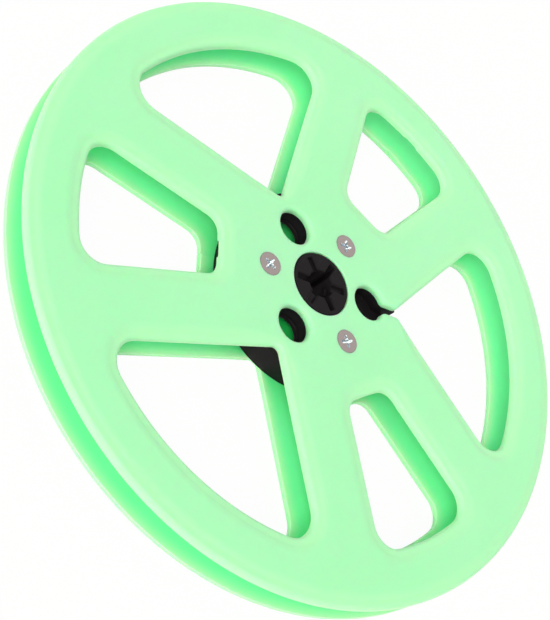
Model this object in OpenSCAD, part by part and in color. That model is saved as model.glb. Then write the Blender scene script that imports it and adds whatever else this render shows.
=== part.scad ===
// Audio tape reel for quarter inch tape: two moulded flanges screwed to a hub.
// The reel lies on its back flange. Z is the spindle axis and +X runs along the threading slot.

/* [Flanges] */
// Outside diameter of both flanges
flange_d = 177.8; // [140:0.1:267]
// Thickness of one flange
flange_t = 2.6; // [2.4:0.1:4]
// Radius that rounds the outer edge of the rim and of the finger holes
edge_r = 1.2; // [0.4:0.1:1.4]
// Leg of the chamfer round the windows and along the threading slot
window_chamfer = 0.8; // [0.2:0.1:1.2]
// Width of the solid band between the windows and the rim
rim_w = 14.65; // [10:0.05:20]

/* [Windows] */
// Angle between the axis of a large window and its straight sides
side_angle = 45; // [42:0.5:47]
// Width of a spoke
spoke_w = 19.2; // [16:0.1:22]
// Distance from the spoke side at a small window to the radius beside it
spoke_shift = 0.6; // [0:0.1:1.5]
// Distance from the axis to the inner side of a small window
small_window_near = 33; // [30:0.5:38]
// Corner radius of a large window next to the hub
large_inner_r = 2; // [1:0.5:4]
// Corner radius of a large window next to the rim
large_outer_r = 7; // [3:0.5:9]
// Corner radius of a small window next to the hub
small_inner_r = 5; // [2:0.5:6]
// Corner radius of a small window next to the rim
small_outer_r = 6.3; // [3:0.1:8]
// Width of the gate notches in the window edges
gate_w = 5; // [3:0.5:8]
// Depth of the gate notches
gate_depth = 0.45; // [0.2:0.05:1]
// Height of the gate notches above the inner face
gate_h = 1; // [0.5:0.1:1.5]

/* [Hub] */
// Diameter that the tape winds on
hub_d = 57.15; // [54:0.05:62]
// Clear width between the flanges
tape_gap = 8.3; // [7:0.1:14]
// Wall of the winding ring
hub_wall = 2.5; // [1.5:0.1:2.6]
// Thickness of the web at the middle of the hub
web_t = 1.6; // [1.2:0.1:3]
// Diameter of the centre boss
boss_d = 18.9; // [17.5:0.1:19.5]
// Depth of the boss face below the flange face
boss_sink = 0.27; // [0.1:0.01:0.6]
// Width of the step round the boss faces
boss_step_w = 0.3; // [0.1:0.05:0.6]
// Depth of the step round the boss faces
boss_step_h = 0.6; // [0.3:0.1:1]
// Chamfer at both mouths of the spindle bore
bore_chamfer = 0.3; // [0.1:0.05:0.5]
// Diameter of the spindle bore
bore_d = 8.1; // [7.5:0.05:9]
// Width of the key slots round the bore
key_w = 1.9; // [1.5:0.1:2]
// Radius that the key slots reach
key_reach_r = 8; // [6.5:0.1:8.4]
// Depth of the three blind key slots
key_depth = 1; // [0.5:0.1:4]

/* [Finger holes and threading slot] */
// Radius of the circle on which the finger holes and screws lie
pitch_r = 17.4; // [17.2:0.05:17.8]
// Diameter of a finger hole in the flange
finger_d = 10.4; // [9:0.1:10.6]
// Diameter of a finger hole in the collar under the front flange
collar_bore_d = 10.2; // [9:0.1:10.6]
// Wall of a collar
collar_wall = 1.4; // [1:0.1:1.6]
// Diameter of a finger hole in the web
web_hole_d = 9.2; // [8:0.1:9.8]
// Radius that rounds the finger holes in the web
web_hole_edge_r = 0.6; // [0.2:0.05:0.6]
// Width of the threading slot
slot_w = 2.8; // [2:0.1:4]
// Wall on either side of the threading slot inside the hub
cheek_t = 1.2; // [0.8:0.1:2]

/* [Screws] */
// Diameter of the screw heads
head_d = 6.78; // [6:0.01:7.4]
// Height of the straight land above the cone of a head
head_land = 0.2; // [0.1:0.05:0.4]
// Thread diameter of the screws
thread_d = 3; // [2.5:0.1:3.4]
// Length of the screws with their heads
screw_l = 6; // [4.5:0.1:6.4]
// Outside diameter of the screw posts
post_d = 8.4; // [7:0.1:10]
// Span of the cross recess
recess_span = 3.9; // [3:0.1:4.4]
// Width of one wing of the cross recess
recess_w = 0.9; // [0.6:0.05:1.2]
// Depth of the cross recess
recess_depth = 1.1; // [0.6:0.1:1.4]

/* [Fits] */
// Radial clearance of the boss in the flange bores
boss_clear = 0.05; // [0.02:0.01:0.2]
// Clearance of the screw heads and shanks in the flanges
screw_clear = 0.05; // [0.02:0.01:0.2]

/* [Hidden] */
$fn = 96;

// Overlap that carries every cut past the surface it opens
past = 1;
// Copies of each feature round the axis
fold = 3;
step_angle = 360 / fold;
half_step = step_angle / 2;

// Heights along the axis
reel_w = tape_gap + 2 * flange_t;
mid_z = reel_w / 2;

// Windows: centres of their corner arcs, each listed for the upper half
rim_r = flange_d / 2;
window_r = rim_r - rim_w;
large_shift = spoke_w - spoke_shift;
small_angle = half_step - side_angle;
// Centre of an arc of radius r that touches the rim arc and a side at the given angle and shift
function outer_corner(a, shift, r) =
    let (t = a - asin((shift + r) / (window_r - r)))
    (window_r - r) * [cos(t), sin(t)];
large_inner = [(large_shift + large_inner_r) / sin(side_angle), 0];
large_outer = outer_corner(side_angle, large_shift, large_outer_r);
small_inner_x = small_window_near + small_inner_r;
small_inner = [small_inner_x,
               (small_inner_x * sin(small_angle) - spoke_shift - small_inner_r) / cos(small_angle)];
small_outer = outer_corner(small_angle, spoke_shift, small_outer_r);
// A window: inner centre, outer centre, inner radius, outer radius, angle of its side
large_window = [large_inner, large_outer, large_inner_r, large_outer_r, side_angle];
small_window = [small_inner, small_outer, small_inner_r, small_outer_r, small_angle];

// Hub and holes
hub_r = hub_d / 2;
boss_r = boss_d / 2;
bore_r = bore_d / 2;
finger_r = finger_d / 2;
collar_r = collar_bore_d / 2 + collar_wall;
post_r = post_d / 2;
web_top = mid_z + web_t / 2;

// Screws
head_r = head_d / 2;
thread_r = thread_d / 2;
tip_h = 0.8;
tip_r = thread_r / 2;

function mirrored(p) = [p.x, -p.y];
function reversed(list) = [for (i = [len(list) - 1:-1:0]) list[i]];
function on_arc(centre, r, a) = centre + r * [cos(a), sin(a)];
function arc_points(centre, r, from, to, steps) =
    [for (i = [0:steps]) on_arc(centre, r, from + (to - from) * i / steps)];
// Upper and lower half of an outline that is symmetric about X
function both_halves(upper) = concat(upper, reversed([for (p = upper) mirrored(p)]));
function heading(p) = atan2(p.y, p.x);

// Outline of a window as a closed ring of points, grown by a margin
function window_ring(w, grow) = both_halves(concat(
    arc_points(w[0], w[2] + grow, 180, 90 + w[4], 6),
    arc_points(w[1], w[3] + grow, 90 + w[4], heading(w[1]), 8),
    arc_points([0, 0], window_r + grow, heading(w[1]), 0, 10)));

// Cut for one window, with its chamfer at the outer face
module window_cut(w) {
    slice = 0.01;
    translate([0, 0, -past]) linear_extrude(flange_t + 2 * past) polygon(window_ring(w, 0));
    hull() {
        translate([0, 0, flange_t + slice])
            linear_extrude(slice) polygon(window_ring(w, window_chamfer + slice));
        translate([0, 0, flange_t - 2 * window_chamfer])
            linear_extrude(slice) polygon(window_ring(w, -window_chamfer));
    }
}

// Round hole through a flange whose mouth at the outer face is rounded
module rounded_hole(r) {
    translate([0, 0, -past]) cylinder(r = r, h = flange_t + 2 * past);
    rotate_extrude() difference() {
        translate([0, flange_t - edge_r]) square([r + edge_r, edge_r + past]);
        translate([r + edge_r, flange_t - edge_r]) circle(edge_r);
    }
}

// Countersunk seat and clearance hole for one screw, seen from the outer face at z = 0
module screw_seat() {
    rotate_extrude() polygon([
        [0, past],
        [head_r + screw_clear, past],
        [head_r + screw_clear, -head_land],
        [thread_r + screw_clear, -head_land - head_r + thread_r],
        [thread_r + screw_clear, -flange_t - past],
        [0, -flange_t - past]]);
}

// One flange with its inner face at z = 0 and its outer face up
module flange() {
    difference() {
        rotate_extrude() {
            square([rim_r - edge_r, flange_t]);
            square([rim_r, flange_t - edge_r]);
            translate([rim_r - edge_r, flange_t - edge_r]) circle(edge_r);
        }
        translate([0, 0, -past]) cylinder(r = boss_r + boss_clear, h = flange_t + 2 * past);
        for (i = [0:fold - 1]) rotate(i * step_angle) {
            window_cut(large_window);
            rotate(half_step) window_cut(small_window);
            translate([pitch_r, 0, 0]) rounded_hole(finger_r);
            rotate(half_step) translate([pitch_r, 0, flange_t]) screw_seat();
            rotate(half_step) gate_notches();
        }
        threading_slot();
    }
}

// Notches that the trimmed gates leave in the inner edge of a small window
module gate_notches() {
    for (x = [small_window_near - gate_depth, window_r - past])
        translate([x, -gate_w / 2, -past]) cube([gate_depth + past, gate_w, gate_h + past]);
}

// Slot from the finger hole on +X to the corner of the large window, chamfered at the outer face
module threading_slot() {
    translate([pitch_r, 0, 0]) rotate([90, 0, 90]) linear_extrude(large_inner.x - pitch_r) polygon([
        [-slot_w / 2, -past],
        [slot_w / 2, -past],
        [slot_w / 2, flange_t - window_chamfer],
        [slot_w / 2 + window_chamfer + past, flange_t + past],
        [-slot_w / 2 - window_chamfer - past, flange_t + past],
        [-slot_w / 2, flange_t - window_chamfer]]);
}

module front_flange() {
    color("#adffb9") translate([0, 0, reel_w - flange_t]) flange();
}

module back_flange() {
    color("#a4f5b0") translate([0, 0, flange_t]) rotate([180, 0, 0]) flange();
}

// Centre boss with a step round both faces, which reaches almost to both outer faces
module boss() {
    translate([0, 0, boss_sink]) cylinder(r = boss_r - boss_step_w, h = reel_w - 2 * boss_sink);
    translate([0, 0, boss_sink + boss_step_h])
        cylinder(r = boss_r, h = reel_w - 2 * boss_sink - 2 * boss_step_h);
}

// Spindle bore with a chamfer at each mouth
module bore_cut() {
    translate([0, 0, -past]) cylinder(r = bore_r, h = reel_w + 2 * past);
    for (end = [0, 1]) translate([0, 0, end * reel_w]) mirror([0, 0, end])
        translate([0, 0, boss_sink - past])
            cylinder(r1 = bore_r + bore_chamfer + past, r2 = bore_r, h = bore_chamfer + past);
}

// Radial key slots: three run through and the three between them are blind from both faces
module key_slots() {
    for (i = [0:fold - 1]) {
        rotate(i * step_angle + half_step) translate([0, -key_w / 2, -past])
            cube([key_reach_r, key_w, reel_w + 2 * past]);
        for (z = [boss_sink - past, reel_w - boss_sink - key_depth])
            rotate(i * step_angle) translate([0, -key_w / 2, z])
                cube([key_reach_r, key_w, key_depth + past]);
    }
}

// Hole in the web with both edges rounded
module web_hole() {
    r = web_hole_d / 2;
    e = web_hole_edge_r;
    translate([0, 0, mid_z - web_t]) cylinder(r = r, h = 2 * web_t);
    rotate_extrude() for (side = [-1, 1]) translate([0, mid_z]) scale([1, side]) difference() {
        translate([0, web_t / 2 - e]) square([r + e, e + past / 2]);
        translate([r + e, web_t / 2 - e]) circle(e);
    }
}

// Winding ring, web, boss, screw posts and the collars under the front flange, in one moulding
module hub() {
    color("#2b292b") difference() {
        union() {
            boss();
            translate([0, 0, flange_t]) difference() {
                cylinder(r = hub_r, h = tape_gap);
                translate([0, 0, -past]) cylinder(r = hub_r - hub_wall, h = tape_gap + 2 * past);
            }
            translate([0, 0, mid_z - web_t / 2]) cylinder(r = hub_r - hub_wall / 2, h = web_t);
            for (i = [0:fold - 1]) rotate(i * step_angle) {
                translate([pitch_r, 0, mid_z]) cylinder(r = collar_r, h = reel_w - flange_t - mid_z);
                rotate(half_step) translate([pitch_r, 0, flange_t]) cylinder(r = post_r, h = tape_gap);
            }
            translate([pitch_r, -slot_w / 2 - cheek_t, mid_z])
                cube([hub_r - hub_wall / 2 - pitch_r, slot_w + 2 * cheek_t, reel_w - flange_t - mid_z]);
        }
        bore_cut();
        key_slots();
        for (i = [0:fold - 1]) rotate(i * step_angle) {
            translate([pitch_r, 0, web_top]) cylinder(r = collar_bore_d / 2, h = reel_w);
            if (i > 0) translate([pitch_r, 0, 0]) web_hole();
            rotate(half_step) translate([pitch_r, 0, 0]) cylinder(r = thread_r, h = reel_w);
        }
        translate([pitch_r, -slot_w / 2, web_top]) cube([hub_r, slot_w, reel_w]);
        translate([hub_r - hub_wall, -slot_w / 2, 0]) cube([hub_r, slot_w, reel_w]);
    }
}

// Countersunk screw with its head face at z = 0 and its tip down
module screw() {
    difference() {
        rotate_extrude() polygon([
            [0, 0],
            [head_r, 0],
            [head_r, -head_land],
            [thread_r, -head_land - head_r + thread_r],
            [thread_r, tip_h - screw_l],
            [tip_r, -screw_l],
            [0, -screw_l]]);
        for (turn = [0, 90]) rotate(turn) translate([-recess_span / 2, -recess_w / 2, -recess_depth])
            cube([recess_span, recess_w, recess_depth + past]);
    }
}

// A front or back screw in its own seat, counted anticlockwise from the threading slot
module front_screw(i) {
    color("#9a9294") rotate((i - 1) * step_angle + half_step)
        translate([pitch_r, 0, reel_w]) screw();
}

module back_screw(i) {
    color("#9a9294") rotate((i - 1) * step_angle + half_step)
        translate([pitch_r, 0, 0]) rotate([180, 0, 0]) screw();
}

front_flange();
back_flange();
hub();
for (i = [1:fold]) {
    front_screw(i);
    back_screw(i);
}
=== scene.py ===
"""Empty plastic tape reel: two moulded flanges, the hub between them and six screws.

Surfaces are profiles carried along outlines. An outline is a chain of arcs in plan, with the
void on its left. A profile is a list of steps (d, z): d is the distance into the void and z
the height. Flat faces close the first and last steps. Only the inside of the spindle bore is
built otherwise, as a stack of rings.
"""

from math import asin, atan2, ceil, cos, hypot, pi, radians, sin, sqrt

import bmesh
import bpy
import numpy as np
from bpy.props import FloatProperty, FloatVectorProperty, PointerProperty
from mathutils import Matrix, Vector


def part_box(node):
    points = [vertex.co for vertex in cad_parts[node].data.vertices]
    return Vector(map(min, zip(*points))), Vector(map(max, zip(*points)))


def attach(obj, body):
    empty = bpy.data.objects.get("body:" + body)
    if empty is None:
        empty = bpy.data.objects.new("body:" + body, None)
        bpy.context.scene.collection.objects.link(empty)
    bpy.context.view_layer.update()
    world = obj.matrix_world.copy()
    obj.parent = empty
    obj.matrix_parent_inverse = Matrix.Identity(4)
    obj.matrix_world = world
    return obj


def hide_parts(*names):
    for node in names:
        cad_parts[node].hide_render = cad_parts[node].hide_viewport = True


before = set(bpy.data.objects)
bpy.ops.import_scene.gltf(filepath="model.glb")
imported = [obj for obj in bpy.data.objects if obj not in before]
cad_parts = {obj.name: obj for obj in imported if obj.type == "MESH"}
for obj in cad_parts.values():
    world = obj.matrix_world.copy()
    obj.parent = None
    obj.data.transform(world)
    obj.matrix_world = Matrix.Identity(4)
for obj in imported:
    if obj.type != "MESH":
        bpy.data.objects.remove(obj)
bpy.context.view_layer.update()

bl_info = {
    "name": "Tape reel",
    "version": (1, 0, 0),
    "blender": (4, 5, 0),
    "location": "View3D > Sidebar > Reel",
    "description": "Builds an empty tape reel around its CAD frame",
    "category": "Add Mesh",
}

MM = 0.001
THIRD, SIXTH = 2 * pi / 3, pi / 3
BODY = "root"

# Sizes that the frame gives
FRONT_LOW, FRONT_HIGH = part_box("front_flange")
HUB_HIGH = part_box("hub")[1]
SCREW_LOW, SCREW_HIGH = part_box("front_screw_2")
RIM_R = FRONT_HIGH.x
REEL_W = FRONT_HIGH.z
FLANGE_T = FRONT_HIGH.z - FRONT_LOW.z
HUB_R = HUB_HIGH.y
BOSS_SINK = REEL_W - HUB_HIGH.z
HEAD_R = (SCREW_HIGH.y - SCREW_LOW.y) / 2
PITCH_R = -(SCREW_LOW.x + SCREW_HIGH.x) / 2
SCREW_L = SCREW_HIGH.z - SCREW_LOW.z


def length(name, description, default):
    """A length property in metres"""
    return FloatProperty(name=name, description=description, default=default, min=0.0,
                         unit="LENGTH", precision=5)


def angle(name, description, degrees):
    """An angle property, shown in degrees"""
    return FloatProperty(name=name, description=description, default=radians(degrees),
                         subtype="ANGLE")


def share(name, description, default):
    """A property from nothing to all"""
    return FloatProperty(name=name, description=description, default=default, min=0.0, max=1.0,
                         subtype="FACTOR")


def number(name, description, default):
    """A plain number that isn't negative"""
    return FloatProperty(name=name, description=description, default=default, min=0.0)


def colour(name, description, default):
    """A colour property, linear red, green and blue"""
    return FloatVectorProperty(name=name, description=description, default=default, size=3,
                               min=0.0, max=1.0, subtype="COLOR")


class FlangeSizes(bpy.types.PropertyGroup):
    """Sizes of the two flanges"""

    rim_r: length("Rim radius", "Outer radius of a flange", RIM_R)
    thickness: length("Thickness", "Thickness of a flange", FLANGE_T)
    rim_w: length("Rim band", "Solid band between the windows and the rim", 14.65 * MM)
    round_r: length("Edge radius", "Radius that rounds the outer edges", 1.2 * MM)
    inner_edge_r: length("Inner edge radius", "Radius that breaks the inner edges", 0.12 * MM)
    land_w: length("Land width", "Width of the flat land inside the rounded edges", 1.0 * MM)
    fall_w: length("Fall width", "Width of the gentle fall inside that land", 2.3 * MM)
    fall_h: length("Fall height", "Height of the gentle fall", 0.34 * MM)
    # Painted glow: this width is how far the inner face is painted paler towards each window's edge
    fringe_w: length("Fringe width", "Width of the light fringe on the inner face", 3.8 * MM)
    side_angle: angle("Side angle", "Angle between a large window's axis and its sides", 45)
    spoke_w: length("Spoke width", "Width of a spoke", 19.2 * MM)
    spoke_shift: length("Spoke shift", "From a radius to a spoke's side at a small window",
                        0.6 * MM)
    small_near: length("Small window start", "From the axis to a small window", 33 * MM)
    large_inner_r: length("Large inner corner", "Corner of a large window next to the hub", 2 * MM)
    large_outer_r: length("Large outer corner", "Corner of a large window next to the rim", 7 * MM)
    small_inner_r: length("Small inner corner", "Corner of a small window next to the hub", 5 * MM)
    small_outer_r: length("Small outer corner", "Corner of a small window next to the rim", 6.3 * MM)
    gate_w: length("Gate width", "Width of a notch that a trimmed gate leaves", 5 * MM)
    gate_depth: length("Gate depth", "Depth of a gate notch", 0.45 * MM)
    gate_h: length("Gate height", "Height of a gate notch above the inner face", 1 * MM)
    finger_r: length("Finger hole radius", "Radius of a finger hole", 5.2 * MM)
    slot_w: length("Slot width", "Width of the threading slot", 2.8 * MM)
    slot_root_r: length("Slot root", "Radius where the slot leaves its finger hole", 2 * MM)
    slot_mouth_r: length("Slot mouth", "Radius where the slot opens into the window", 2 * MM)


class HubSizes(bpy.types.PropertyGroup):
    """Sizes of the hub moulding"""

    ring_r: length("Ring radius", "Radius that the tape winds on", HUB_R)
    ring_wall: length("Ring wall", "Wall of the winding ring", 2.5 * MM)
    edge_r: length("Edge radius", "Radius that breaks the edges of ring and collars", 0.2 * MM)
    web_t: length("Web thickness", "Thickness of the web", 1.6 * MM)
    boss_r: length("Boss radius", "Radius of the centre boss", 9.45 * MM)
    boss_step_w: length("Boss step", "Width of the step round both faces of the boss", 0.3 * MM)
    boss_step_h: length("Boss step depth", "Depth of that step", 0.6 * MM)
    bore_r: length("Bore radius", "Radius of the spindle bore", 4.05 * MM)
    key_w: length("Key slot width", "Width of a key slot", 1.9 * MM)
    key_reach: length("Key slot reach", "From the axis to the end of a key slot", 8 * MM)
    key_depth: length("Key slot depth", "Depth of the three blind key slots", 1 * MM)
    key_edge_r: length("Key edge radius", "Radius that rounds the key slots' edges", 0.25 * MM)
    nib_depth: length("Nib depth", "From a boss face to the nibs in the bore", 3.1 * MM)
    nib_h: length("Nib height", "Height of a nib", 1.3 * MM)
    nib_rise: length("Nib rise", "How far a nib stands off the bore", 0.35 * MM)
    key_corner_r: length("Key corner radius", "Radius in the corners of a key slot", 0.3 * MM)
    pitch_r: length("Pitch radius", "From the axis to the finger holes and screws", PITCH_R)
    collar_r: length("Collar radius", "Outer radius of a collar", 6.5 * MM)
    collar_bore_r: length("Collar bore", "Inner radius of a collar", 5.1 * MM)
    collar_mouth_r: length("Collar mouth", "Radius that rounds the top of a collar's bore", 0.1 * MM)
    web_hole_r: length("Web hole radius", "Radius of the holes through the web", 4.6 * MM)
    web_hole_edge_r: length("Web hole edge", "Radius that rounds the holes in the web", 0.6 * MM)
    cheek_t: length("Cheek", "Wall on either side of the threading slot", 1.2 * MM)
    post_r: length("Post radius", "Outer radius of a screw post", 4.2 * MM)
    sink: length("Sink", "Overlap of one wall of the moulding into the next", 0.2 * MM)


class ScrewSizes(bpy.types.PropertyGroup):
    """Sizes of the six countersunk screws"""

    head_r: length("Head radius", "Radius of the head", HEAD_R)
    head_land: length("Head land", "Straight land above the cone", 0.2 * MM)
    thread_r: length("Thread radius", "Radius of the shank", 1.5 * MM)
    screw_l: length("Length", "Length with the head", SCREW_L)
    tip_h: length("Tip", "Height of the cone at the tip", 0.8 * MM)
    recess_span: length("Recess span", "Span of the cross recess", 3.9 * MM)
    recess_w: length("Recess wing", "Width of one wing of the cross recess", 0.9 * MM)
    recess_depth: length("Recess depth", "Depth of the cross recess", 1.1 * MM)
    edge_r: length("Edge radius", "Radius that breaks the edges of the head", 0.08 * MM)


class Finish(bpy.types.PropertyGroup):
    """Colours and finishes of the three materials"""

    green: colour("Flange green", "Colour of the flange plastic", (0.43, 0.99, 0.56))
    green_deep: colour("Flange green, deep", "Its colour in faint clouds", (0.415, 0.985, 0.54))
    # Painted highlight and glow: the edge colour paints the outer rounds, walls and falls paler
    green_painted_edge_glow: colour("Flange green, edge", "Its colour at outer edges", (0.455, 0.995, 0.55))
    # Painted shade: the inside and core colours darken the faces in the gap between the flanges,
    # deepest near the hub
    green_painted_shade_rim: colour("Flange green, inside", "Its colour in the gap near the rim",
                         (0.23, 0.98, 0.50))
    green_painted_shade_hub: colour("Flange green, core", "Its colour in the gap near the hub",
                       (0.03, 0.97, 0.20))
    # Painted glow: the fringe colour paints the inner faces paler next to the window edges
    green_painted_inner_glow: colour("Flange green, fringe", "Its colour at inner edges", (0.56, 0.98, 0.60))
    green_roughness: share("Flange roughness", "Roughness of the flange plastic", 0.55)
    haze: share("Flange haze", "Strength of the flange plastic's soft sheen", 0.3)
    glow: length("Flange glow", "How far light passes into the flange plastic", 1.5 * MM)
    black: colour("Hub black", "Colour of the hub plastic", (0.012, 0.010, 0.0125))
    black_worn: colour("Hub black, scuffed", "Its colour where scuffed", (0.021, 0.018, 0.021))
    black_roughness: share("Hub roughness", "Roughness of the hub plastic", 0.42)
    steel: colour("Screw steel", "Colour of the plated screw heads", (0.26, 0.22, 0.225))
    # Painted reflection: the pale recess colour, mottled by the material, stands in for light
    # mirrored in the cross recess
    steel_bright: colour("Recess steel", "Colour of the bright cross recess", (0.77, 0.85, 0.91))
    steel_roughness: share("Steel roughness", "Roughness of the plating", 0.34)


class StageSettings(bpy.types.PropertyGroup):
    """Camera, lights and floor"""

    aim: FloatVectorProperty(name="Aim", description="Point that the camera looks at", size=3,
                             default=(-15.7 * MM, -13.54 * MM, 13.5 * MM), subtype="TRANSLATION")
    distance: length("Distance", "From the camera to the aim", 341.9 * MM)
    azimuth: angle("Azimuth", "Side that the camera stands on, from -Y towards +X", -47.42)
    elevation: angle("Elevation", "Height of the camera above the flange plane", 45.54)
    roll: angle("Roll", "Turn of the camera about its own axis", 57.79)
    lens: number("Lens", "Focal length for a 36 mm long side", 75.63)
    floor_gap: length("Floor gap", "From the reel down to the floor", 0.02 * MM)
    floor_r: length("Floor radius", "Radius of the floor", 3.0)
    floor_white: share("Floor white", "Share of plain white in what is seen of the floor", 0.95)
    sky: share("Sky", "Strength of the even light from all round", 0.55)
    key_power: number("Key light", "Strength of the high light", 1.6)
    key_azimuth: angle("Key azimuth", "Side that the high light stands on", -50)
    key_elevation: angle("Key elevation", "Height of the high light", 45)
    key_spread: angle("Key spread", "Apparent width of the high light", 30)
    side_power: number("Side light", "Strength of the low light", 1.2)
    side_azimuth: angle("Side azimuth", "Side that the low light stands on", -58)
    side_elevation: angle("Side elevation", "Height of the low light", 12)
    side_spread: angle("Side spread", "Apparent width of the low light", 25)
    back_power: number("Back light", "Strength of the light from behind", 0.28)
    back_azimuth: angle("Back azimuth", "Side that the light from behind stands on", 132)
    back_elevation: angle("Back elevation", "Height of the light from behind", 45)
    back_spread: angle("Back spread", "Apparent width of the light from behind", 40)
    lamp_colour: colour("Lamp colour", "Colour of the three lights", (1.0, 0.98, 0.78))


# Outlines in plan: rows of x, y and the unit normal that points into the void

# Longest steps from point to point: along an arc, as its turn, and on a straight stretch
STEP = 1.0 * MM
ARC_STEP = radians(9)
LINE_STEP = 1.5 * MM
# Points of an outline that are closer than this count as one
SAME_POINT = 1e-3 * MM


def arc(centre, r, start, end, void_inside=True, step=STEP):
    """Arc about a centre: centre plus r times a ray that sweeps from start to end. The
    normal is the ray itself, turned round where the void holds the centre."""
    turn = abs(end - start)
    count = int(max(ceil(turn / ARC_STEP), ceil(turn * r / step), 1)) + 1
    a = np.linspace(start, end, count)
    ray = np.stack([np.cos(a), np.sin(a)], 1)
    return np.hstack([np.array(centre) + r * ray, -ray if void_inside else ray])


def chain(*arcs, line_step=LINE_STEP):
    """Closed outline through tangent arcs. The straight stretch from each arc to the next is
    cut into even steps, and points that fall together are dropped."""
    rows = []
    for one, following in zip(arcs, arcs[1:] + arcs[:1]):
        gap = following[0] - one[-1]
        cuts = max(1, ceil(hypot(gap[0], gap[1]) / line_step))
        rows += [one, one[-1] + np.linspace(0, 1, cuts + 1)[1:-1, None] * gap]
    loop = np.vstack(rows)
    apart = np.linalg.norm(loop[:, :2] - np.roll(loop[:, :2], 1, 0), axis=1) > SAME_POINT
    return loop[apart]


def circle(centre, r, void_inside=True, step=STEP):
    """Whole circle, run anticlockwise round a void and clockwise round material"""
    start, end = (0, 2 * pi) if void_inside else (2 * pi, 0)
    return arc(centre, r, start, end, void_inside, step)[:-1]


def turned(loop, a):
    """The points, and their normals if they have any, turned by a about the axis"""
    spin = np.array([[cos(a), sin(a)], [-sin(a), cos(a)]])
    return np.hstack([loop[:, i:i + 2] @ spin for i in range(0, loop.shape[1], 2)])


def mirrored(p):
    """The point on the other side of +X"""
    return (p[0], -p[1])


def tangent_x(r, y):
    """x of the point at distance r from the origin and height y"""
    return sqrt(r * r - y * y)


class Window:
    """A window that is symmetric about +X. Its sides lean away from +X by the angle side, and
    each is shift off the radius at that angle. inner is the centre of its upper inner corner.
    Its outer corners touch the arc of radius rim and the sides."""

    def __init__(self, inner, inner_r, outer_r, rim, side, shift):
        self.inner, self.inner_r, self.outer_r = inner, inner_r, outer_r
        self.rim, self.side = rim, side
        # The outer corner's centre is outer_r inside the arc and outer_r plus shift off the radius
        self.heading = side - asin((shift + outer_r) / (rim - outer_r))
        self.outer = ((rim - outer_r) * cos(self.heading), (rim - outer_r) * sin(self.heading))

    def outer_arcs(self):
        """Lower outer corner, rim arc and upper outer corner"""
        leave = pi / 2 + self.side
        return (arc(mirrored(self.outer), self.outer_r, -leave, -self.heading),
                arc((0, 0), self.rim, -self.heading, self.heading),
                arc(self.outer, self.outer_r, self.heading, leave))

    def outline(self, line_step=LINE_STEP):
        """Lower inner corner, the outer arcs and upper inner corner"""
        leave = pi / 2 + self.side
        return chain(arc(mirrored(self.inner), self.inner_r, pi, 2 * pi - leave),
                     *self.outer_arcs(),
                     arc(self.inner, self.inner_r, leave, pi), line_step=line_step)


def large_window(s):
    """Window between the far sides of two spokes. One round corner joins its sides, with its
    centre on +X."""
    shift = s.spoke_w - s.spoke_shift
    inner = ((shift + s.large_inner_r) / sin(s.side_angle), 0)
    return Window(inner, s.large_inner_r, s.large_outer_r, s.rim_r - s.rim_w, s.side_angle, shift)


def small_window(s):
    """Window between the near sides of two spokes. Its inner end is small_near from the axis,
    with a corner on either side."""
    side = SIXTH - s.side_angle
    x = s.small_near + s.small_inner_r
    inner = (x, (x * sin(side) - s.spoke_shift - s.small_inner_r) / cos(side))
    return Window(inner, s.small_inner_r, s.small_outer_r, s.rim_r - s.rim_w, side, s.spoke_shift)


def slotted_window(s, hole_r, centre_x):
    """Finger hole, threading slot and large window as one outline. Round corners lie in the
    material where the slot leaves the hole and where it opens into the window."""
    w = large_window(s)
    root, mouth = s.slot_root_r, s.slot_mouth_r
    y, v = s.slot_w / 2 + root, s.slot_w / 2 + mouth
    x = centre_x + tangent_x(hole_r + root, y)
    bend = asin(y / (hole_r + root))
    # Where the window's straight side would cross the axis
    apex = w.inner[0] - w.inner_r / sin(w.side)
    u = apex + (v * cos(w.side) - mouth) / sin(w.side)
    return chain(arc((centre_x, 0), hole_r, bend, 2 * pi - bend, step=STEP / 2),
                 arc((x, -y), root, pi - bend, pi / 2, False),
                 arc((u, -v), mouth, pi / 2, pi / 2 - w.side, False),
                 *w.outer_arcs(),
                 arc((u, v), mouth, w.side - pi / 2, -pi / 2, False),
                 arc((x, y), root, -pi / 2, bend - pi, False))


# Profiles: arrays of steps (d, z), one column for each step, one row for each outline point

# How far the first and last steps of a profile run out into the flat faces
GUARD = 0.2 * MM
# Smallest step, where one level takes over from another
LEDGE = 0.01 * MM
# Steps of a small edge, of the flanges' large round and of their fall
EDGE_STEPS, ROUND_STEPS, FALL_STEPS = 3, 9, 7


def corner(r, steps, start, end):
    """Quarter round of radius r, as offsets (cos, sin) times r from its centre"""
    a = np.linspace(start, end, steps + 1)
    return r * np.cos(a), r * np.sin(a)


def carry(loop, d, z):
    """Grid of points: each outline point moved by d along its normal and raised to z, for each
    step of the profile. d and z are one row for the whole outline or one row for each point."""
    d, z = np.broadcast_arrays(d, z)
    shape = (len(loop), d.shape[-1])
    d, z = np.broadcast_to(d, shape), np.broadcast_to(z, shape)
    plan = loop[:, None, :2] + d[..., None] * loop[:, None, 2:]
    return np.dstack([plan, z])


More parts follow.
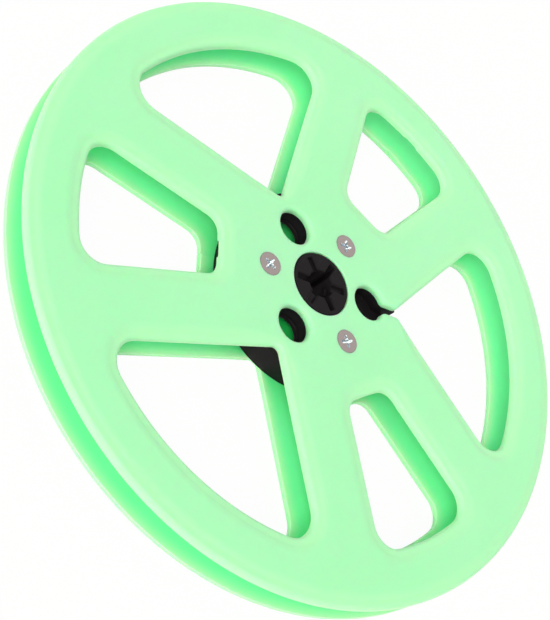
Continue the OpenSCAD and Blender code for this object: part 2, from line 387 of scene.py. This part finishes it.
def flange_edge(s, loop, fall=1.0, notch=0.0, fringe=1.0):
    """Edge of a flange from its inner face up to its outer face: a small round at the inner
    edge, a ledge at gate_h where the wall below stands back by notch, a straight wall, the
    large round, a flat land and a gentle fall. Height on the fall is thickness minus fall_h
    times the square of the share left to its inner end. fall scales the land, the fall and the
    width of the painted glow. The fourth coordinate is that painted glow, which the material
    turns into paler plastic at the edges: it rises from nothing to fringe along the inner
    face, keeps it up the wall and sinks to nothing along the fall. fall, notch and fringe hold
    for the whole outline or for each point."""
    t, r, b = s.thickness, s.round_r, s.inner_edge_r
    n = len(loop)
    fall, notch, fringe = (np.broadcast_to(v, n)[:, None] for v in (fall, notch, fringe))
    flat = np.zeros((n, 1))
    ax, az = corner(b, EDGE_STEPS, -pi / 2, 0)
    bx, bz = corner(r, ROUND_STEPS, 0, pi / 2)
    along = np.linspace(0, 1, FALL_STEPS + 1)[1:]
    land, width, drop = s.land_w * fall + LEDGE, s.fall_w * fall + LEDGE, s.fall_h * fall
    d = [-notch - b - GUARD - s.fringe_w * fall, -notch - b - GUARD, -notch - b + ax, -notch,
         flat, flat + bx - r, -r - land, -r - land - along * width, -r - land - width - GUARD]
    z = [flat, flat, flat + b + az, flat + s.gate_h, flat + s.gate_h + LEDGE,
         t + bz - r - drop, t - drop, t - drop * (1 - along) ** 2, flat + t]
    points = carry(loop, np.hstack(d), np.hstack(z))
    # The fourth coordinate is the share of painted glow that the material lays on the edges
    rise = np.hstack([0, np.ones(points.shape[1] - FALL_STEPS - 2), 1 - along, 0])
    return np.dstack([points, fringe * rise])


def bar(low, high, low_r, high_r, steps=4):
    """Profile of a plain edge from low to high, rounded by low_r and high_r"""
    ax, az = corner(low_r, steps, -pi / 2, 0)
    bx, bz = corner(high_r, steps, 0, pi / 2)
    d = np.hstack([-low_r - GUARD, ax - low_r, bx - high_r, -high_r - GUARD])
    z = np.hstack([low, low + low_r + az, high - high_r + bz, high])
    return d, z


# Meshes

# Vertex attribute that holds a profile's fourth coordinate, the share of painted glow at the
# flanges' edges
GLOW_ATTRIBUTE = "fringe"
# Vertices of a mesh that are closer than this are merged
SAME_VERTEX = 1e-4 * MM


def shell(strips, caps):
    """Closed mesh from grids of points that close on themselves along their first axis. Each
    cap is a list of (strip, step) whose rings bound one flat face. A fourth coordinate is kept
    as a vertex attribute."""
    points, quads, rings, base = [], [], [], 0
    for grid in strips:
        n, m, size = grid.shape
        ids = base + np.arange(n * m).reshape(n, m)
        onward = np.roll(ids, -1, 0)
        quad = np.stack([ids[:, :-1], ids[:, 1:], onward[:, 1:], onward[:, :-1]], -1)
        points.append(np.pad(grid.reshape(-1, size), ((0, 0), (0, 4 - size))))
        quads.append(quad.reshape(-1, 4))
        rings.append(ids)
        base += n * m
    places, fringe = np.split(np.vstack(points), [3], 1)
    mesh = bpy.data.meshes.new("shell")
    mesh.from_pydata(places.tolist(), [], np.vstack(quads).tolist())
    if fringe.any():
        mesh.attributes.new(GLOW_ATTRIBUTE, "FLOAT", "POINT").data.foreach_set("value", fringe.ravel())
    bm = bmesh.new()
    bm.from_mesh(mesh)
    bm.verts.ensure_lookup_table()
    for cap in caps:
        edges = []
        for strip, step in cap:
            ring = rings[strip][:, step]
            pairs = zip(ring, np.roll(ring, -1))
            edges += [bm.edges.get((bm.verts[a], bm.verts[b])) for a, b in pairs]
        bmesh.ops.triangle_fill(bm, edges=edges, use_beauty=True, normal=(0, 0, 1))
    bmesh.ops.remove_doubles(bm, verts=bm.verts, dist=SAME_VERTEX)
    bmesh.ops.recalc_face_normals(bm, faces=bm.faces)
    bm.to_mesh(mesh)
    bm.free()
    return mesh


def plate(strips):
    """Closed mesh whose strips all run from one flat face up to another"""
    every = range(len(strips))
    return shell(strips, [[(i, 0) for i in every], [(i, -1) for i in every]])


# Edges that bend by more than this stay sharp
CREASE = radians(32)


def place(name, meshes, look, replaces, matrix=None):
    """One object of one or more closed meshes, smooth shaded up to the crease angle"""
    bm = bmesh.new()
    for mesh in meshes:
        bm.from_mesh(mesh)
        bpy.data.meshes.remove(mesh)
    joined = bpy.data.meshes.new(name)
    bm.to_mesh(joined)
    bm.free()
    if matrix is not None:
        joined.transform(matrix)
    joined.shade_smooth()
    joined.set_sharp_from_angle(angle=CREASE)
    joined.materials.append(look)
    piece = bpy.data.objects.new(name, joined)
    bpy.context.scene.collection.objects.link(piece)
    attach(piece, BODY)
    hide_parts(*replaces)


# Shader maths

class Socket:
    """One socket of a node tree. Expressions on sockets add Math nodes."""

    def __init__(self, tree, link):
        self.tree, self.link = tree, link

    def __add__(self, other):
        return self.tree.math("ADD", self, other)

    __radd__ = __add__

    def __sub__(self, other):
        return self.tree.math("SUBTRACT", self, other)

    def __rsub__(self, other):
        return self.tree.math("SUBTRACT", other, self)

    def __mul__(self, other):
        return self.tree.math("MULTIPLY", self, other)

    __rmul__ = __mul__


class Tree:
    """Node tree of a material or of the world"""

    def __init__(self, owner):
        owner.use_nodes = True
        self.tree = owner.node_tree
        self.tree.nodes.clear()

    def add(self, kind, settings=None, sockets=None, output=0):
        """A node of the given type: its settings first, then the values or links of its
        sockets, by name or by place. Returns one of its outputs."""
        node = self.tree.nodes.new(kind)
        for key, value in (settings or {}).items():
            setattr(node, key, value)
        for key, value in (sockets or {}).items():
            self.feed(node.inputs[key], value)
        return Socket(self, node.outputs[output]) if node.outputs else None

    def feed(self, socket, value):
        """Links a socket to another node's output, or gives it a value"""
        if isinstance(value, Socket):
            self.tree.links.new(value.link, socket)
        elif isinstance(value, (int, float)):
            socket.default_value = value
        else:
            value = tuple(value)
            wide = len(value) == 3 and socket.type == "RGBA"
            socket.default_value = value + (1.0,) if wide else value

    def math(self, operation, *values):
        """A Math node on the values, in their order"""
        return self.add("ShaderNodeMath", {"operation": operation}, dict(enumerate(values)))

    def position(self):
        """Place on the object, in metres"""
        return self.add("ShaderNodeTexCoord", output="Object")

    def depth(self):
        """Depth below the nearer outer face of the reel: half its width less the distance from
        its middle"""
        half = REEL_W / 2
        z = self.add("ShaderNodeSeparateXYZ", None, {"Vector": self.position()}, "Z")
        return half - self.math("ABSOLUTE", z - half)

    def radius(self):
        """Distance from the reel's axis: the length of x and y"""
        flat = self.add("ShaderNodeVectorMath", {"operation": "MULTIPLY"},
                        {0: self.position(), 1: (1, 1, 0)})
        return self.add("ShaderNodeVectorMath", {"operation": "LENGTH"}, {0: flat}, "Value")

    def noise(self, size, detail=3.0, roughness=0.5):
        """Cloudy pattern whose clouds are about size across"""
        return self.add("ShaderNodeTexNoise", None, {
            "Vector": self.position(), "Scale": 1 / size, "Detail": detail,
            "Roughness": roughness})

    def between(self, low, high, value):
        """Smooth step from nothing at low to all at high"""
        return self.add("ShaderNodeMapRange", {"interpolation_type": "SMOOTHSTEP"},
                        {"Value": value, "From Min": low, "From Max": high})

    def mix_colour(self, mask, one, other):
        """Colour that goes from one to other as the mask goes from nothing to all. A Mix node
        takes two colours in its sockets 6 and 7 and gives theirs in its output 2."""
        return self.add("ShaderNodeMix", {"data_type": "RGBA"}, {0: mask, 6: one, 7: other}, 2)

    def bump(self, height, depth):
        """Normal of a surface whose height runs over depth"""
        return self.add("ShaderNodeBump", None, {"Distance": depth, "Height": height})


def material(name, build):
    """A material whose Principled shader is fed by build, which returns its sockets"""
    made = bpy.data.materials.new(name)
    tree = Tree(made)
    shader = tree.add("ShaderNodeBsdfPrincipled", None, build(tree))
    tree.add("ShaderNodeOutputMaterial", None, {"Surface": shader})
    return made


def darker(tint, left):
    """The colour times the share of it that is left"""
    return [left * c for c in tint]


# Depths between which the flange plastic goes over to its painted gap shade, and radii between
# which that painted shade goes from the deep one near the hub to the lighter one near the rim
GAP_SHADE_DEPTHS = (2.2 * MM, 2.55 * MM)
GAP_SHADE_RADII = (13 * MM, 42 * MM)
# Depths between which a screw goes from its head's finish to the painted reflection in its recess
RECESS_DEPTHS = (0.03 * MM, 0.09 * MM)


def green_plastic(finish):
    """Pale green moulded plastic: faint clouds of colour, satin gloss and a fine moulded grain.
    Light passes into it. Painted shade deepens its colour from the outer faces to the gap for the
    tape, most near the hub, and a painted glow makes it paler at the edges, as far as their
    vertex attribute says."""
    def build(tree):
        # Painted shade: faces in the gap between the flanges take deeper colours, deepest near the
        # hub and lighter towards the rim
        inside = tree.between(*GAP_SHADE_DEPTHS, tree.depth())
        shade_fade = tree.between(*GAP_SHADE_RADII, tree.radius())
        # Painted glow: this vertex attribute paints the outer rounds, walls and falls paler, and the
        # inner faces next to the windows
        fringe = tree.add("ShaderNodeAttribute", {"attribute_name": GLOW_ATTRIBUTE}, output="Fac")
        clouds = tree.between(0.35, 0.7, tree.noise(28 * MM, detail=2.0))
        outer = tree.mix_colour(clouds, finish.green, finish.green_deep)
        # Painted highlight and glow on the outer edges
        outer = tree.mix_colour(fringe, outer, finish.green_painted_edge_glow)
        inner = tree.mix_colour(shade_fade, finish.green_painted_shade_hub, finish.green_painted_shade_rim)
        # Painted glow on the inner faces next to the window edges
        inner = tree.mix_colour(fringe * fringe, inner, finish.green_painted_inner_glow)
        grain = tree.noise(0.35 * MM, detail=2.0)
        waves = tree.noise(9 * MM, detail=1.0)
        return {
            "Base Color": tree.mix_colour(inside, outer, inner),
            "Roughness": finish.green_roughness + 0.10 * (tree.noise(3 * MM) - 0.5),
            "Normal": tree.bump(grain + 6.0 * waves, 0.004 * MM),
            "Specular IOR Level": 0.2,
            "Sheen Weight": finish.haze,
            "Sheen Roughness": 0.4,
            "Sheen Tint": (0.95, 1.0, 0.8),
            "Subsurface Weight": 0.8,
            "Subsurface Radius": (0.25, 1.0, 0.45),
            "Subsurface Scale": finish.glow,
        }
    return material("green_plastic", build)


def black_plastic(finish):
    """Black moulded plastic with a fine grain and faint scuffs"""
    def build(tree):
        scuffs = tree.between(0.52, 0.75, tree.noise(2.2 * MM, detail=6.0, roughness=0.7))
        return {
            "Base Color": tree.mix_colour(scuffs, finish.black, finish.black_worn),
            "Roughness": finish.black_roughness + 0.16 * (tree.noise(1.4 * MM, detail=5.0) - 0.5),
            "Normal": tree.bump(tree.noise(0.22 * MM, detail=3.0), 0.012 * MM),
            "Specular IOR Level": 0.05,
        }
    return material("black_plastic", build)


def plated_steel(finish):
    """Zinc plated steel: a dull head with fine scratches; pale, mottled painted reflection in the
    cross recess
    """
    def build(tree):
        inside = tree.between(*RECESS_DEPTHS, tree.depth())
        streaks = tree.noise(0.5 * MM, detail=5.0, roughness=0.65)
        dull = tree.mix_colour(streaks, darker(finish.steel, 0.86), finish.steel)
        # Painted reflection: pale, mottled patches in the recess stand in for mirrored light
        mottle = tree.between(0.38, 0.6, tree.noise(0.35 * MM, detail=2.0))
        bright = tree.mix_colour(mottle, darker(finish.steel_bright, 0.35), finish.steel_bright)
        return {
            "Base Color": tree.mix_colour(inside, dull, bright),
            "Metallic": 1.0,
            "Roughness": finish.steel_roughness + 0.18 * (streaks - 0.5) - 0.14 * inside,
            "Normal": tree.bump(streaks, 0.008 * MM),
        }
    return material("plated_steel", build)


# Pieces

# Room round a screw head in its seat, and round the boss in a flange
PLAY = 0.05 * MM
# Radius of an edge that is hardly broken, and of a screw post's edges
CRISP, POST_EDGE = 0.05 * MM, 0.1 * MM
# Shares of the fall at a finger hole and at the tip of a large window, and the stretches over
# which the fall and the painted glow grow to their whole size from there
HOLE_FALL, TIP_FALL = 0.08, 0.25
FALL_RAMP, GLOW_RAMP = 6 * MM, 3 * MM
# Half the turn that a nib in the spindle bore takes up
NIB_TURN = radians(24)
# Longest steps round a screw's head and along its cross recess
HEAD_STEP, CROSS_STEP = 0.3 * MM, 0.2 * MM
# Angle of each side's first cross recess, and from each to the next
CROSS_ANGLE = {"front": 0.5, "back": 0.9}
NEXT_ANGLE = 0.45


def pitch_circle(hub, r, a, void_inside=True, step=STEP / 2):
    """Circle of radius r on the pitch radius, turned by a about the axis"""
    return turned(circle((hub.pitch_r, 0), r, void_inside, step), a)


def flange_mesh(s, hub, screw):
    """One flange with its inner face at z = 0 and its outer face up"""
    t = s.thickness
    strips = [flange_edge(s, circle((0, 0), s.rim_r, False))]
    large, small = large_window(s), small_window(s)
    tip = large.inner[0] - large.inner_r
    gate_step, seat_edge = 0.25 * MM, 0.06 * MM
    for i in range(3):
        a = i * THIRD
        # Small window between two spokes, with gate notches in its inner and outer edges
        loop = small.outline(gate_step)
        near = np.abs(loop[:, 1]) < s.gate_w / 2
        end = (loop[:, 0] < s.small_near + gate_step) | (loop[:, 0] > small.rim - gate_step)
        notch = np.where(near & end, s.gate_depth, 0.0)
        strips.append(flange_edge(s, turned(loop, a + SIXTH), notch=notch))
        # Screw seat: clearance hole, cone, land and a broken edge
        seat_r = screw.head_r + PLAY
        cone = seat_r - screw.thread_r
        loop = pitch_circle(hub, seat_r, a + SIXTH)
        d = np.array([cone - GUARD, cone, cone, 0, 0, -seat_edge, -seat_edge - GUARD])
        z = np.array([0, 0, t - screw.head_land - cone, t - screw.head_land, t - seat_edge, t, t])
        strips.append(carry(loop, d, z))
        # Large window and finger hole, joined by the threading slot at the first third
        if i == 0:
            loop = slotted_window(s, s.finger_r, hub.pitch_r)
            x, mouth = loop[:, 0], tip + s.slot_mouth_r
            fall = np.interp(x, [mouth, mouth + FALL_RAMP], [HOLE_FALL, 1.0])
            fringe = np.interp(x, [mouth, mouth + GLOW_RAMP], [0.0, 1.0])
            strips.append(flange_edge(s, loop, fall, fringe=fringe))
        else:
            loop = large.outline()
            fall = np.interp(loop[:, 0], [tip, tip + FALL_RAMP], [TIP_FALL, 1.0])
            strips.append(flange_edge(s, turned(loop, a), fall))
            hole = pitch_circle(hub, s.finger_r, a)
            strips.append(flange_edge(s, hole, HOLE_FALL, fringe=0.0))
    # Bore that takes the boss
    boss_hole = circle((0, 0), hub.boss_r + PLAY, step=STEP / 2)
    strips.append(carry(boss_hole, *bar(0, t, low_r=0.1 * MM, high_r=0.25 * MM)))
    return plate(strips)


def keyed_outline(hub):
    """Spindle bore with six key slots, every second one blind. Returns its points, and where
    they are beyond the blind slots' floors: there each has moved along its slot to the bore's
    circle, so that x is the root of r squared less y squared."""
    r, half, bend = hub.bore_r, hub.key_w / 2, hub.key_corner_r
    y = half + bend
    x = tangent_x(r + bend, y)
    lean = atan2(y, x)
    far, near = hub.key_reach - bend, half - bend
    loops, inner = [], []
    for i in range(6):
        a = i * SIXTH
        slot = np.vstack([arc((x, -y), bend, pi - lean, pi / 2, False),
                          arc((far, -near), bend, -pi / 2, 0),
                          arc((far, near), bend, 0, pi / 2),
                          arc((x, y), bend, -pi / 2, lean - pi, False)])
        rest = arc((0, 0), r, lean, SIXTH - lean, step=STEP / 2)[1:-1]
        whole = np.vstack([slot, rest])
        side = np.clip(slot[:, 1], -r, r)
        bore = np.stack([np.sqrt(r * r - side ** 2), side], 1)
        kept = np.vstack([bore, rest[:, :2]]) if i % 2 == 0 else whole[:, :2]
        loops.append(turned(whole, a))
        inner.append(turned(kept, a))
    return np.vstack(loops), np.vstack(inner)


def boss_mesh(hub):
    """Centre boss: stepped outside, keyed inside. The blind slots step in to the bore's own
    wall at their floors, and beyond each floor a nib swells out of the bore, by 1 less the
    fourth power of the turn from its middle over NIB_TURN."""
    low, high = BOSS_SINK, REEL_W - BOSS_SINK
    w, h, e = hub.boss_step_w, hub.boss_step_h, hub.key_edge_r
    lip, slope = 0.12 * MM, 0.05 * MM
    cx, cz = corner(lip, EDGE_STEPS, 0, pi / 2)
    top_d = np.hstack([0, -slope, -w, -w - lip + cx, -w - lip - GUARD])
    top_z = np.hstack([high - h - slope, high - h, high - h, high - lip + cz, high])
    d = np.hstack([top_d[::-1], top_d])
    z = np.hstack([REEL_W - top_z[::-1], top_z])
    outside = carry(circle((0, 0), hub.boss_r, False, STEP / 2), d, z)
    loop, bore = keyed_outline(hub)
    d, z = bar(low, high, e, e)
    half = len(d) // 2
    lower, upper = carry(loop, d[:half], z[:half]), carry(loop, d[half:], z[half:])
    off = np.arctan2(bore[:, 1], bore[:, 0]) % THIRD
    swell = np.clip(1 - (np.minimum(off, THIRD - off) / NIB_TURN) ** 4, 0, 1)

    def ring(plan, height, rise=0.0):
        scaled = plan * (1 - rise / hub.bore_r * swell)[:, None]
        return np.dstack([scaled[:, None, :], np.full((len(plan), 1, 1), height)])

    nib = [(hub.nib_depth, 0.0), (hub.nib_depth + hub.nib_rise, hub.nib_rise),
           (hub.nib_depth + hub.nib_h, hub.nib_rise),
           (hub.nib_depth + hub.nib_h + hub.nib_rise / 2, 0.0)]
    floor_low, floor_high = low + hub.key_depth, high - hub.key_depth
    inside = [lower, ring(loop[:, :2], floor_low), ring(bore, floor_low + LEDGE)]
    inside += [ring(bore, low + depth, rise) for depth, rise in nib]
    inside += [ring(bore, high - depth, rise) for depth, rise in nib[::-1]]
    inside += [ring(bore, floor_high - LEDGE), ring(loop[:, :2], floor_high), upper]
    return plate([outside, np.concatenate(inside, 1)])


def ring_mesh(hub, slot_w, low, high):
    """Winding ring, open at the threading slot. Its outline runs clockwise outside and
    anticlockwise inside, with rounded lips at the slot."""
    outer, inner = hub.ring_r, hub.ring_r - hub.ring_wall
    lip, heel = 0.25 * MM, 0.3 * MM
    y, v = slot_w / 2 + lip, slot_w / 2 + heel
    x, u = tangent_x(outer - lip, y), tangent_x(inner + heel, v)
    a, b = atan2(y, x), atan2(v, u)
    loop = chain(arc((0, 0), outer, 2 * pi - a, a, False),
                 arc((x, y), lip, a, -pi / 2, False),
                 arc((u, v), heel, -pi / 2, b - pi, False),
                 arc((0, 0), inner, b, 2 * pi - b),
                 arc((u, -v), heel, pi - b, pi / 2, False),
                 arc((x, -y), lip, pi / 2, -a, False))
    return plate([carry(loop, *bar(low, high, hub.edge_r, hub.edge_r))])


def web_mesh(hub, low, high):
    """Web with holes for the boss, the screw posts and two of the fingers"""
    plain = bar(low, high, CRISP, CRISP, steps=1)
    e = hub.web_hole_edge_r
    strips = [carry(circle((0, 0), hub.ring_r - hub.ring_wall + hub.sink, False), *plain),
              carry(circle((0, 0), hub.boss_r - hub.sink), *plain)]
    for i in range(3):
        post = pitch_circle(hub, hub.post_r - hub.sink, i * THIRD + SIXTH, step=STEP)
        strips.append(carry(post, *plain))
        if i > 0:
            hole = pitch_circle(hub, hub.web_hole_r, i * THIRD)
            strips.append(carry(hole, *bar(low, high, e, e, steps=7)))
    return plate(strips)


def tube_mesh(hub, a, outer_r, outer, inner_r, inner):
    """Upright tube on the pitch radius, with the radius and profile of its outside and inside"""
    return plate([carry(pitch_circle(hub, outer_r, a, False, STEP), *outer),
                  carry(pitch_circle(hub, inner_r, a), *inner)])


def open_collar_outline(hub, flange):
    """Collar that the threading slot opens, with the two cheeks that line the slot. Inside, it
    follows the flange's own hole and slot, and stands proud of them by proud."""
    # The cheeks end short of the winding face, with small round corners, and run into the
    # collar in a larger round
    short, tip, heel = 0.5 * MM, 0.3 * MM, 1.0 * MM
    c, end = hub.pitch_r, hub.ring_r - short
    r, big, half = hub.collar_bore_r, hub.collar_r, flange.slot_w / 2
    root, proud = flange.slot_root_r, flange.finger_r - r
    y, v = half + root, half + hub.cheek_t + heel
    x, u = c + tangent_x(r + proud + root, y), c + tangent_x(big + heel, v)
    a, b = asin(y / (r + proud + root)), asin(v / (big + heel))
    near, far = half - proud + tip, half + hub.cheek_t - tip
    return chain(arc((c, 0), r, a, 2 * pi - a, step=STEP / 2),
                 arc((x, -y), root + proud, pi - a, pi / 2, False),
                 arc((end - tip, -near), tip, pi / 2, 0, False),
                 arc((end - tip, -far), tip, 0, -pi / 2, False),
                 arc((u, -v), heel, pi / 2, pi - b),
                 arc((c, 0), big, 2 * pi - b, b, False),
                 arc((u, v), heel, b - pi, -pi / 2),
                 arc((end - tip, far), tip, pi / 2, 0, False),
                 arc((end - tip, near), tip, 0, -pi / 2, False),
                 arc((x, y), root + proud, -pi / 2, a - pi, False))


def hub_meshes(hub, flange, screw):
    """All walls of the hub moulding, each closed and sunk a little into the next: boss, ring,
    web, the posts that take a screw from either end, and the collars round the finger holes"""
    inner_low, inner_high = flange.thickness, REEL_W - flange.thickness
    web_low, web_high = (REEL_W - hub.web_t) / 2, (REEL_W + hub.web_t) / 2
    post = bar(inner_low, inner_high, POST_EDGE, POST_EDGE, steps=2)
    collar, bore = (bar(web_high - hub.sink, inner_high, CRISP, top)
                    for top in (hub.edge_r, hub.collar_mouth_r))
    meshes = [boss_mesh(hub), ring_mesh(hub, flange.slot_w, inner_low, inner_high),
              web_mesh(hub, web_low, web_high)]
    for i in range(3):
        a = i * THIRD
        meshes.append(tube_mesh(hub, a + SIXTH, hub.post_r, post, screw.thread_r, post))
        if i > 0:
            meshes.append(tube_mesh(hub, a, hub.collar_r, collar, hub.collar_bore_r, bore))
    meshes.append(plate([carry(open_collar_outline(hub, flange), *bore)]))
    return meshes


def cross_outline(s):
    """Cross recess: four wings with round ends, and round corners in the metal between them"""
    half, fillet = s.recess_w / 2, 0.3 * MM
    reach, diagonal = s.recess_span / 2 - half, half + fillet
    parts = []
    for i in range(4):
        wing = np.vstack([arc((reach, 0), half, -pi / 2, pi / 2, step=CROSS_STEP),
                          arc((diagonal, diagonal), fillet, -pi / 2, -pi, False, CROSS_STEP)])
        parts.append(turned(wing, i * pi / 2))
    return np.vstack(parts)


def screw_mesh(s):
    """Countersunk screw with its head face at z = 0 and its tip down. The recess narrows
    towards its floor: each of its levels has a height, an offset into the void and a scale
    about the screw's axis."""
    r, e, cone = s.head_r, s.edge_r, s.head_r - s.thread_r
    cx, cz = corner(e, EDGE_STEPS, 0, pi / 2)
    radii = np.hstack([s.thread_r / 2 - GUARD, s.thread_r / 2, s.thread_r, s.thread_r, r, r,
                       r - e + cx[1:], r - e - GUARD])
    z = np.hstack([-s.screw_l, -s.screw_l, s.tip_h - s.screw_l, -s.head_land - cone,
                   -s.head_land, -e, cz[1:] - e, 0])
    body = carry(circle((0, 0), r, False, HEAD_STEP), radii - r, z)
    bevel = 0.07 * MM
    levels = [(-s.recess_depth, 0.16 * MM, 0.55), (-0.4 * s.recess_depth, 0.06 * MM, 0.92),
              (-bevel, 0, 1), (0, -bevel, 1), (0, -bevel - 0.05 * MM, 1)]
    z, d, scale = np.array(levels).T
    recess = carry(cross_outline(s), d, z)
    recess[..., :2] *= scale[:, None]
    return shell([body, recess], [[(0, 0)], [(1, 0)], [(0, -1), (1, -1)]])


# Stage

WHITE, PALE = (1, 1, 1), (0.9, 0.9, 0.9)
FLOOR_STEP = 50 * MM
# Long side of the camera's film in millimetres, and the nearest and farthest that it sees
FILM = 36
NEAREST, FARTHEST = 10 * MM, 20.0


def direction(azimuth, elevation):
    """Unit vector from the object to a spot at that azimuth and elevation"""
    return Vector((sin(azimuth) * cos(elevation), -cos(azimuth) * cos(elevation), sin(elevation)))


def seen_directly(tree):
    """All for rays from the camera and mirrored or refracted ones, nothing for the rest"""
    rays = [tree.add("ShaderNodeLightPath", output=key) for key in
            ("Is Camera Ray", "Is Glossy Ray", "Is Transmission Ray")]
    return tree.math("MINIMUM", rays[0] + rays[1] + rays[2], 1.0)


def floor_disc(stage):
    """White floor just below the reel. What is seen of it is mostly plain white, and the rest
    is lit, so that it keeps the reel's shadow."""
    ring = circle((0, 0), stage.floor_r, step=FLOOR_STEP)[:, :2]
    points = np.hstack([ring, np.full((len(ring), 1), -stage.floor_gap)])
    mesh = bpy.data.meshes.new("floor")
    mesh.from_pydata(points.tolist(), [], [list(range(len(points)))])
    white = bpy.data.materials.new("floor_white")
    tree = Tree(white)
    lit = tree.add("ShaderNodeBsdfDiffuse", None, {"Color": PALE})
    plain = tree.add("ShaderNodeEmission", None, {"Color": WHITE})
    mixed = tree.add("ShaderNodeMixShader", None,
                     {0: seen_directly(tree) * stage.floor_white, 1: lit, 2: plain})
    tree.add("ShaderNodeOutputMaterial", None, {"Surface": mixed})
    mesh.materials.append(white)
    floor = bpy.data.objects.new("floor", mesh)
    bpy.context.scene.collection.objects.link(floor)


def even_light(scene, stage):
    """World that lights evenly from all round and shows plain white"""
    world = bpy.data.worlds.new("studio")
    tree = Tree(world)
    strength = stage.sky + (1 - stage.sky) * seen_directly(tree)
    background = tree.add("ShaderNodeBackground", None, {"Color": WHITE, "Strength": strength})
    tree.add("ShaderNodeOutputWorld", None, {"Surface": background})
    scene.world = world


def soft_light(name, tint, power, azimuth, elevation, spread):
    """Broad light from far away on one side"""
    lamp = bpy.data.lights.new(name, "SUN")
    lamp.color, lamp.energy, lamp.angle = tint, power, spread
    spot = bpy.data.objects.new(name, lamp)
    spot.rotation_mode = "QUATERNION"
    spot.rotation_quaternion = direction(azimuth, elevation).to_track_quat("Z", "Y")
    bpy.context.scene.collection.objects.link(spot)


def photo_camera(scene, stage):
    """Camera that looks at the aim from its azimuth and elevation, rolled about its own axis"""
    lens = bpy.data.cameras.new("camera")
    lens.lens = stage.lens
    lens.sensor_width = FILM
    lens.clip_start, lens.clip_end = NEAREST, FARTHEST
    back = direction(stage.azimuth, stage.elevation)
    level = back.to_track_quat("Z", "Y").to_matrix()
    turn = Matrix.Rotation(stage.roll, 3, "Z")
    camera = bpy.data.objects.new("camera", lens)
    camera.matrix_world = (Matrix.Translation(Vector(stage.aim) + back * stage.distance)
                           @ (level @ turn).to_4x4())
    scene.collection.objects.link(camera)
    scene.camera = camera


# Operators and panel

class REEL_OT_flanges(bpy.types.Operator):
    """Builds the front and the back flange"""

    bl_idname = "reel.flanges"
    bl_label = "Build flanges"

    def execute(self, context):
        scene = context.scene
        flange, hub, screw = scene.reel_flange, scene.reel_hub, scene.reel_screw
        plastic = green_plastic(scene.reel_finish)
        lift = Matrix.Translation((0, 0, REEL_W - flange.thickness))
        over = Matrix.Translation((0, 0, flange.thickness)) @ Matrix.Rotation(pi, 4, "X")
        for name, matrix in (("front_flange", lift), ("back_flange", over)):
            place(name + "_moulding", [flange_mesh(flange, hub, screw)], plastic,
                  [name], matrix)
        return {"FINISHED"}


class REEL_OT_hub(bpy.types.Operator):
    """Builds the hub moulding"""

    bl_idname = "reel.hub"
    bl_label = "Build hub"

    def execute(self, context):
        scene = context.scene
        meshes = hub_meshes(scene.reel_hub, scene.reel_flange, scene.reel_screw)
        place("hub_moulding", meshes, black_plastic(scene.reel_finish), ["hub"])
        return {"FINISHED"}


class REEL_OT_screws(bpy.types.Operator):
    """Builds the front and the back screws"""

    bl_idname = "reel.screws"
    bl_label = "Build screws"

    def execute(self, context):
        scene = context.scene
        steel = plated_steel(scene.reel_finish)
        pitch = scene.reel_hub.pitch_r
        for i in range(3):
            spot = Matrix.Rotation(i * THIRD + SIXTH, 4, "Z") @ Matrix.Translation((pitch, 0, 0))
            for side, height, flip in (("front", REEL_W, 0), ("back", 0, pi)):
                # Each cross stands at its own angle, as a driven screw's does
                own = Matrix.Rotation(CROSS_ANGLE[side] + NEXT_ANGLE * i, 4, "Z")
                matrix = (Matrix.Translation((0, 0, height)) @ spot
                          @ Matrix.Rotation(flip, 4, "X") @ own)
                node = f"{side}_screw_{i + 1}"
                place(node + "_steel", [screw_mesh(scene.reel_screw)], steel,
                      [node], matrix)
        return {"FINISHED"}


class REEL_OT_stage(bpy.types.Operator):
    """Builds the floor, the lights and the camera"""

    bl_idname = "reel.stage"
    bl_label = "Build stage"

    def execute(self, context):
        stage = context.scene.reel_stage
        floor_disc(stage)
        even_light(context.scene, stage)
        for name in ("key", "side", "back"):
            soft_light(name, stage.lamp_colour, *(getattr(stage, f"{name}_{key}") for key in
                                                  ("power", "azimuth", "elevation", "spread")))
        photo_camera(context.scene, stage)
        context.scene.view_settings.view_transform = "Standard"
        return {"FINISHED"}


class REEL_PT_panel(bpy.types.Panel):
    """Lists the operators and the sizes in the sidebar"""

    bl_idname = "REEL_PT_panel"
    bl_label = "Tape reel"
    bl_space_type = "VIEW_3D"
    bl_region_type = "UI"
    bl_category = "Reel"

    def draw(self, context):
        scene = context.scene
        groups = (("reel.flanges", scene.reel_flange), ("reel.hub", scene.reel_hub),
                  ("reel.screws", scene.reel_screw), ("reel.stage", scene.reel_stage))
        for name, group in groups:
            box = self.layout.box()
            box.operator(name)
            for key in group.__annotations__:
                box.prop(group, key)
        for key in scene.reel_finish.__annotations__:
            self.layout.prop(scene.reel_finish, key)


GROUPS = {"reel_flange": FlangeSizes, "reel_hub": HubSizes, "reel_screw": ScrewSizes,
          "reel_finish": Finish, "reel_stage": StageSettings}
CLASSES = (*GROUPS.values(), REEL_OT_flanges, REEL_OT_hub, REEL_OT_screws, REEL_OT_stage,
           REEL_PT_panel)


def register():
    """Registers the classes and gives each scene its own sizes"""
    for one in CLASSES:
        bpy.utils.register_class(one)
    for key, group in GROUPS.items():
        setattr(bpy.types.Scene, key, PointerProperty(type=group))


def unregister():
    """Takes back what register did"""
    for key in GROUPS:
        delattr(bpy.types.Scene, key)
    for one in reversed(CLASSES):
        bpy.utils.unregister_class(one)


def main():
    """Builds the reel and its stage"""
    register()
    bpy.ops.reel.flanges()
    bpy.ops.reel.hub()
    bpy.ops.reel.screws()
    bpy.ops.reel.stage()


if __name__ == "__main__":
    main()
